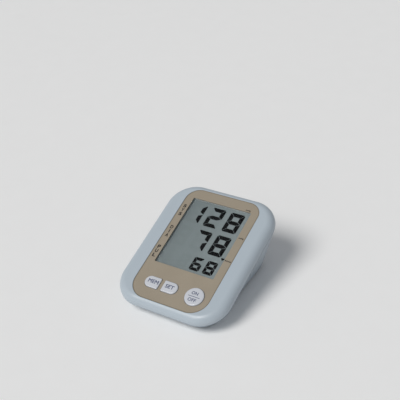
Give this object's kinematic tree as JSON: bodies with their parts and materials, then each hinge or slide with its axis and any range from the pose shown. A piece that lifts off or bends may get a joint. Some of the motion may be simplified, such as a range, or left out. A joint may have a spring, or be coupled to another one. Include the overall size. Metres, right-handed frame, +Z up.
{
  "type": "blood pressure monitor",
  "caption": "Desktop upper-arm blood pressure monitor: white tilted case, champagne fascia, large display, press keys, battery door, air socket and inner pump.",
  "frame": {"origin": "on the table under the middle of the case's outline", "axes": "+Z up from the table, +X to the user's right, +Y away from the user, towards the raised rear"},
  "size_m": [0.107, 0.1262, 0.056],
  "materials": {
    "white_shell": "moulded, satin",
    "champagne_fascia": "champagne coat, satin",
    "clear_window": "clear, polished",
    "lcd_face": "reflective display, matt",
    "white_key": "moulded, satin",
    "dark_rubber": "matt",
    "clear_silicone": "soft, translucent",
    "grey_foam": "open cell",
    "green_board": "solder mask",
    "black_plastic": "moulded",
    "grey_plastic": "moulded",
    "steel": "plated",
    "magnet": "sintered",
    "cell_sleeve": "printed sleeve, plain",
    "lead_sleeve": "insulated wire"
  },
  "bodies": {
    "case": {"air_manifold": "grey_plastic", "air_socket": "grey_plastic", "battery_cell_1": "cell_sleeve", "battery_cell_2": "cell_sleeve", "battery_cell_3": "cell_sleeve", "battery_cell_4": "cell_sleeve", "battery_contacts": "steel", "battery_leads": "lead_sleeve", "battery_springs": "steel", "board_chips": "black_plastic", "board_screws": "steel", "buzzer": "black_plastic", "case_screws": "steel", "dc_jack": "black_plastic", "dc_jack_pin": "steel", "display_window": "clear_window", "fascia_plate": "champagne_fascia", "front_cover": "white_shell", "jack_leads": "lead_sleeve", "lcd_connector": "dark_rubber", "lcd_front_glass": "lcd_face", "lcd_gasket": "dark_rubber", "lcd_holder": "grey_plastic", "lcd_rear_glass": "lcd_face", "main_board": "green_board", "mem_switch": "black_plastic", "motor_end_cap": "black_plastic", "motor_leads": "lead_sleeve", "motor_magnets": "magnet", "power_switch": "black_plastic", "pressure_sensor": "grey_plastic", "pump_cap": "grey_plastic", "pump_chamber": "grey_plastic", "pump_damper": "dark_rubber", "pump_diaphragm": "dark_rubber", "pump_foam": "grey_foam", "pump_head": "grey_plastic", "pump_hose": "clear_silicone", "pump_motor_can": "steel", "rear_cover": "white_shell", "rubber_feet": "dark_rubber", "sensor_hose": "clear_silicone", "set_switch": "black_plastic", "socket_hose": "clear_silicone", "valve_body": "steel", "valve_end_plate": "steel", "valve_hose": "clear_silicone"},
    "mem_key": {"mem_button": "white_key", "mem_plunger": "black_plastic"},
    "set_key": {"set_button": "white_key", "set_plunger": "black_plastic"},
    "power_key": {"power_button": "white_key", "power_plunger": "black_plastic"},
    "door": {"battery_door": "white_shell"},
    "rotor": {"motor_rotor": "steel", "pump_crank": "black_plastic"},
    "wobble": {"wobble_plate": "grey_plastic"},
    "valve_core": {"valve_plunger": "steel"}
  },
  "joints": [
    {"name": "mem_press", "type": "slide", "parent": "case", "child": "mem_key", "axis": [0, 0.309, -0.9511], "range_m": [0, 0.0007], "stiffness_N_per_m": 1500},
    {"name": "set_press", "type": "slide", "parent": "case", "child": "set_key", "axis": [0, 0.309, -0.9511], "range_m": [0, 0.0007], "stiffness_N_per_m": 1500},
    {"name": "power_press", "type": "slide", "parent": "case", "child": "power_key", "axis": [0, 0.309, -0.9511], "range_m": [0, 0.0007], "stiffness_N_per_m": 1500},
    {"name": "battery_door_hinge", "type": "hinge", "parent": "case", "child": "door", "pos_m": [0, -0.01946, 0.002], "axis": [-1, 0, 0], "range_deg": [0, 85]},
    {"name": "pump_spin", "type": "hinge", "parent": "case", "child": "rotor", "pos_m": [0, 0.03949, 0.0188], "axis": [1, 0, 0], "continuous": true},
    {"name": "wobble_turn", "type": "hinge", "parent": "rotor", "child": "wobble", "pos_m": [-0.01009, 0.03949, 0.0188], "axis": [0.9945, 0, 0.1045], "continuous": true},
    {"name": "valve_slide", "type": "slide", "parent": "case", "child": "valve_core", "axis": [-1, 0, 0], "range_m": [0, 0.0008], "stiffness_N_per_m": 300}
  ],
  "couplings": [
    {"joint": "wobble_turn", "follows": "pump_spin", "ratio": -1}
  ]
}
